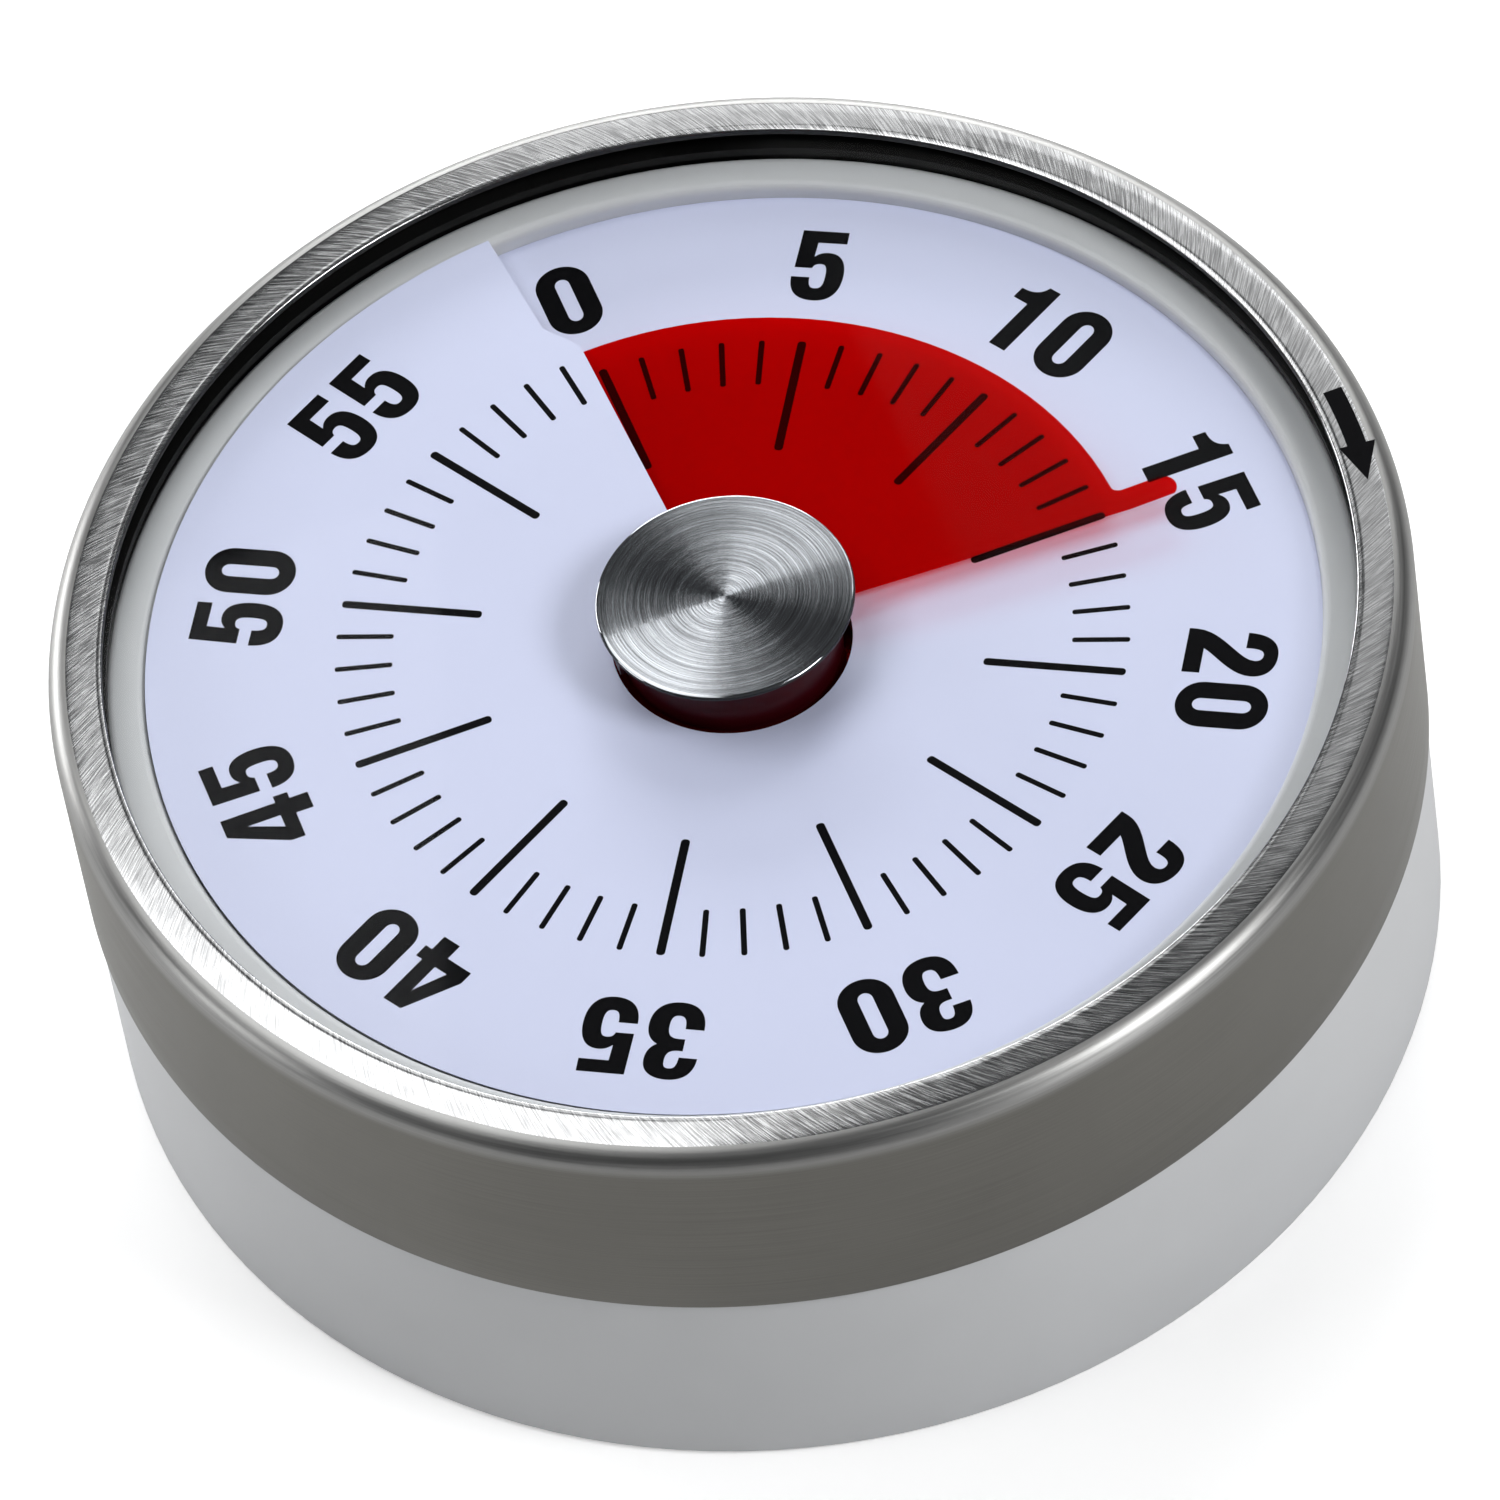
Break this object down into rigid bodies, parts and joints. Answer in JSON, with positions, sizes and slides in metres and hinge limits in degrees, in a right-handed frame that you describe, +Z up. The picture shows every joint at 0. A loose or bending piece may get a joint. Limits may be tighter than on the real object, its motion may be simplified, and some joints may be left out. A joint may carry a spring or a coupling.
{
  "type": "wind-up kitchen timer",
  "caption": "Round wind-up minute timer: a turning steel ring with a lens sets a red leaf that sinks back through a slit in the printed dial.",
  "frame": {"origin": "centre of the flat underside", "axes": "+Z up out of the dial, +Y towards 0 minutes, +X towards 15 minutes"},
  "size_m": [0.08, 0.08, 0.03],
  "materials": {
    "white_plastic": "smooth moulded white, satin gloss",
    "dial_card": "matt white printed film",
    "magnet": "dull dark grey pressed ferrite",
    "screw_steel": "bright zinc-plated steel",
    "plate_brass": "stamped brass",
    "spring_steel": "blued spring strip",
    "bell_steel": "pressed plated steel",
    "ring_steel": "brushed stainless sheet with a rounded upper edge",
    "black_plastic": "fine matt black",
    "clear_lens": "clear polished",
    "red_plastic": "smooth dark red",
    "cap_steel": "turned steel with fine concentric lines",
    "red_film": "see-through red film",
    "arbor_steel": "turned steel"
  },
  "bodies": {
    "base": {"base_housing": "white_plastic", "dial_deck": "white_plastic", "dial_seat": "white_plastic", "dial": "dial_card", "magnets": "magnet", "housing_screws": "screw_steel", "front_plate": "plate_brass", "back_plate": "plate_brass", "plate_pillars": "plate_brass", "pillar_screws": "screw_steel", "movement_screws": "screw_steel", "arbor_bush": "plate_brass", "mainspring": "spring_steel", "spring_post": "screw_steel", "bell": "bell_steel", "bell_screw": "screw_steel"},
    "winder": {"steel_ring": "ring_steel", "ring_liner": "black_plastic", "lens": "clear_lens", "red_hub": "red_plastic", "knob_cap": "cap_steel", "hub_screw": "screw_steel", "red_leaf": "red_film", "winding_arbor": "arbor_steel", "great_wheel": "plate_brass", "clutch_washer": "spring_steel", "strike_cam": "arbor_steel"},
    "second_train": {"second_pinion": "arbor_steel", "second_wheel": "plate_brass"},
    "third_train": {"third_pinion": "arbor_steel", "third_wheel": "plate_brass"},
    "escape_train": {"escape_pinion": "arbor_steel", "escape_wheel": "plate_brass"},
    "balance": {"verge_arbor": "arbor_steel", "verge": "arbor_steel", "balance_bar": "plate_brass"},
    "striker": {"hammer_arbor": "arbor_steel", "hammer": "arbor_steel"}
  },
  "joints": [
    {"name": "winding", "type": "hinge", "parent": "base", "child": "winder", "pos_m": [0, 0, 0.02], "axis": [0, 0, -1], "range_deg": [-90, 240]},
    {"name": "second_spin", "type": "hinge", "parent": "base", "child": "second_train", "pos_m": [0, 0.0145, 0.012], "axis": [0, 0, -1], "range_deg": [-1152, 432]},
    {"name": "third_spin", "type": "hinge", "parent": "base", "child": "third_train", "pos_m": [0.01099, 0.0108, 0.012], "axis": [0, 0, -1], "range_deg": [-2073.6, 5529.6]},
    {"name": "escape_spin", "type": "hinge", "parent": "base", "child": "escape_train", "pos_m": [0.01718, 0.00343, 0.012], "axis": [0, 0, -1], "range_deg": [-24883.2, 9331.2]},
    {"name": "verge_rock", "type": "hinge", "parent": "base", "child": "balance", "pos_m": [0.01848, -0.00396, 0.012], "axis": [0, 0, -1], "range_deg": [-8, 8]},
    {"name": "hammer_swing", "type": "hinge", "parent": "base", "child": "striker", "pos_m": [-0.01498, -0.00999, 0.012], "axis": [0, 0, -1], "range_deg": [-15, 0]}
  ],
  "couplings": [
    {"joint": "second_spin", "follows": "winding", "ratio": -4.8},
    {"joint": "third_spin", "follows": "winding", "ratio": 23.04},
    {"joint": "escape_spin", "follows": "winding", "ratio": -103.68}
  ]
}
